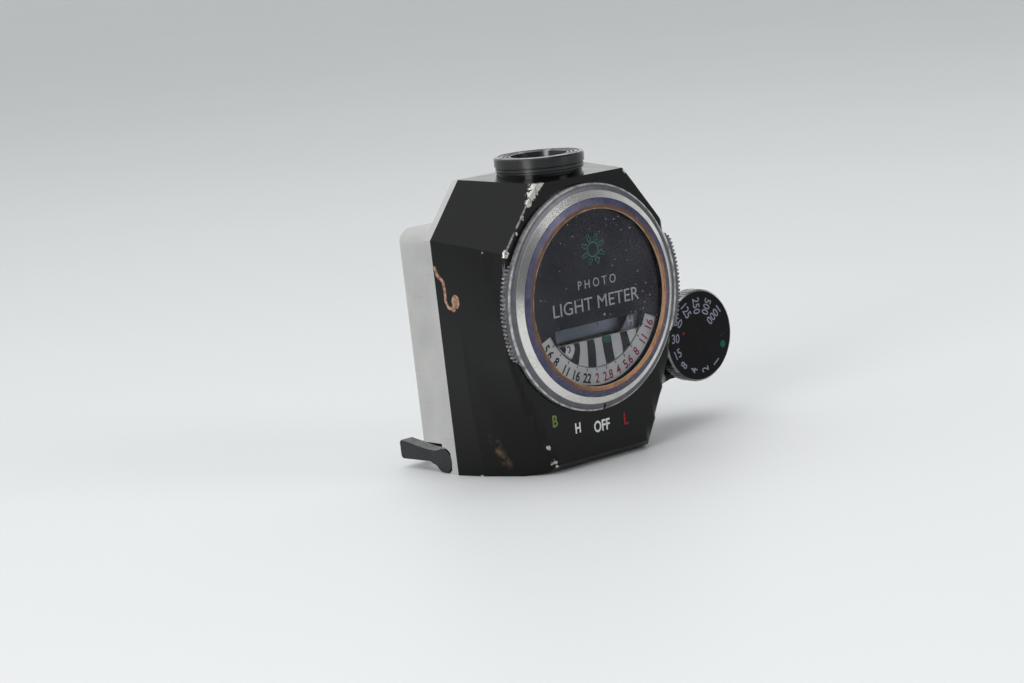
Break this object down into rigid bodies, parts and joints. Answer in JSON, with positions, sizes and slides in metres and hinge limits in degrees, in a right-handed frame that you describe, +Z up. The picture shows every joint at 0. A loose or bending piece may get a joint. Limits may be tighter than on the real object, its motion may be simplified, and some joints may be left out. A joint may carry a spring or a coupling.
{
  "type": "clip-on light meter",
  "caption": "Clip-on exposure meter with a round dial, turning switch ring, light barrel on top, geared speed knob on an arm and a sprung eyepiece loop.",
  "frame": {"origin": "on the flat bottom edge of the cover, in the meter's middle plane, 15 mm behind the cover's front face", "axes": "+Z up through the light barrel, +X to the right as the dial is read, towards the speed knob, and -Y out of the dial"},
  "size_m": [0.0705, 0.0408, 0.063],
  "materials": {
    "black_enamel": "gloss, worn",
    "grey_casting": "satin",
    "black_anodised": "satin",
    "black_steel": "satin",
    "bright_ring": "polished, worn",
    "tinted_ring": "tinted",
    "clear_glass": "clear",
    "dial_print": "satin",
    "scale_grey": "satin",
    "strip_grey": "brushed",
    "brass": "turned",
    "steel": "machined",
    "magnet": "ground",
    "movement_alu": "satin",
    "spring_bronze": "spring",
    "knob_print": "gloss",
    "black_plastic": "moulded",
    "cell_face": "coated",
    "board": "laminate",
    "resistor_body": "lacquered",
    "battery_can": "plated"
  },
  "bodies": {
    "body": {"top_cover": "black_enamel", "base_casting": "grey_casting", "dial_housing": "black_anodised", "glass_retainer": "tinted_ring", "window_glass": "clear_glass", "dial_mask": "dial_print", "band_disc": "scale_grey", "needle_backplate": "strip_grey", "gear_arm": "black_anodised", "arm_lid": "black_anodised", "arm_lid_screws": "steel", "idler_post": "steel", "light_barrel": "black_anodised", "barrel_baffle": "black_anodised", "barrel_lens": "clear_glass", "field_stop": "black_steel", "cell_holder": "black_plastic", "photocell": "cell_face", "barrel_nut": "black_anodised", "movement_yoke": "steel", "movement_frame": "movement_alu", "magnet_core": "magnet", "core_bridge": "steel", "battery_cup": "black_plastic", "battery_spring": "brass", "switch_wafer": "board", "resistors": "resistor_body", "trimmer": "black_plastic", "housing_screws": "steel", "detent_ball": "steel", "detent_spring": "steel", "cover_screws": "steel", "clip_pins": "steel", "hairspring": "spring_bronze"},
    "dial_ring": {"switch_ring": "bright_ring", "switch_carrier": "brass", "range_flag": "dial_print", "wiper": "spring_bronze"},
    "f_ring": {"f_number_ring": "scale_grey", "f_ring_gear": "brass"},
    "pinion": {"pinion_arbor": "brass", "arbor_wheel": "brass"},
    "idler": {"idler_gear": "brass"},
    "knob": {"speed_knob": "black_anodised", "knob_face": "knob_print", "knob_shaft": "steel", "knob_gear": "brass", "coupler_cup": "black_anodised", "drive_pin": "steel"},
    "movement": {"moving_coil": "movement_alu", "needle": "movement_alu"},
    "clip": {"eyepiece_clip": "black_anodised"},
    "battery_cap": {"battery_cap": "steel"},
    "battery": {"battery": "battery_can"}
  },
  "joints": [
    {"name": "knob_turn", "type": "hinge", "parent": "body", "child": "knob", "pos_m": [0.0363, 0, 0.0192], "axis": [0, -1, 0], "range_deg": [-166.2, 138.5]},
    {"name": "idler_turn", "type": "hinge", "parent": "body", "child": "idler", "pos_m": [0.02511, 0, 0.02339], "axis": [0, -1, 0], "range_deg": [-228.8, 274.5]},
    {"name": "pinion_turn", "type": "hinge", "parent": "body", "child": "pinion", "pos_m": [0.01793, 0, 0.02411], "axis": [0, -1, 0], "range_deg": [-457.3, 381.1]},
    {"name": "f_ring_turn", "type": "hinge", "parent": "body", "child": "f_ring", "pos_m": [0, 0, 0.03405], "axis": [0, -1, 0], "range_deg": [-53.1, 63.7]},
    {"name": "switch_turn", "type": "hinge", "parent": "body", "child": "dial_ring", "pos_m": [0, 0, 0.03405], "axis": [0, -1, 0], "range_deg": [-28.8, 14.4]},
    {"name": "needle_swing", "type": "hinge", "parent": "body", "child": "movement", "pos_m": [0, 0, 0.041], "axis": [0, -1, 0], "range_deg": [0, 76], "stiffness_Nm_per_rad": 0.00006, "springref_deg": -14.32},
    {"name": "clip_swing", "type": "hinge", "parent": "body", "child": "clip", "pos_m": [0, 0.0093, 0.0026], "axis": [-1, 0, 0], "range_deg": [0, 38], "stiffness_Nm_per_rad": 0.006, "springref_deg": -17.19},
    {"name": "battery_out", "type": "slide", "parent": "body", "child": "battery", "axis": [0, 1, 0], "range_m": [0, 0.009]},
    {"name": "cap_unscrew", "type": "slide", "parent": "body", "child": "battery_cap", "axis": [0, 1, 0], "range_m": [0, 0.0181]}
  ],
  "couplings": [
    {"joint": "idler_turn", "follows": "knob_turn", "ratio": -1.65},
    {"joint": "pinion_turn", "follows": "knob_turn", "ratio": 2.75},
    {"joint": "f_ring_turn", "follows": "knob_turn", "ratio": -0.38194},
    {"joint": "cap_unscrew", "follows": "battery_out", "ratio": 2}
  ]
}
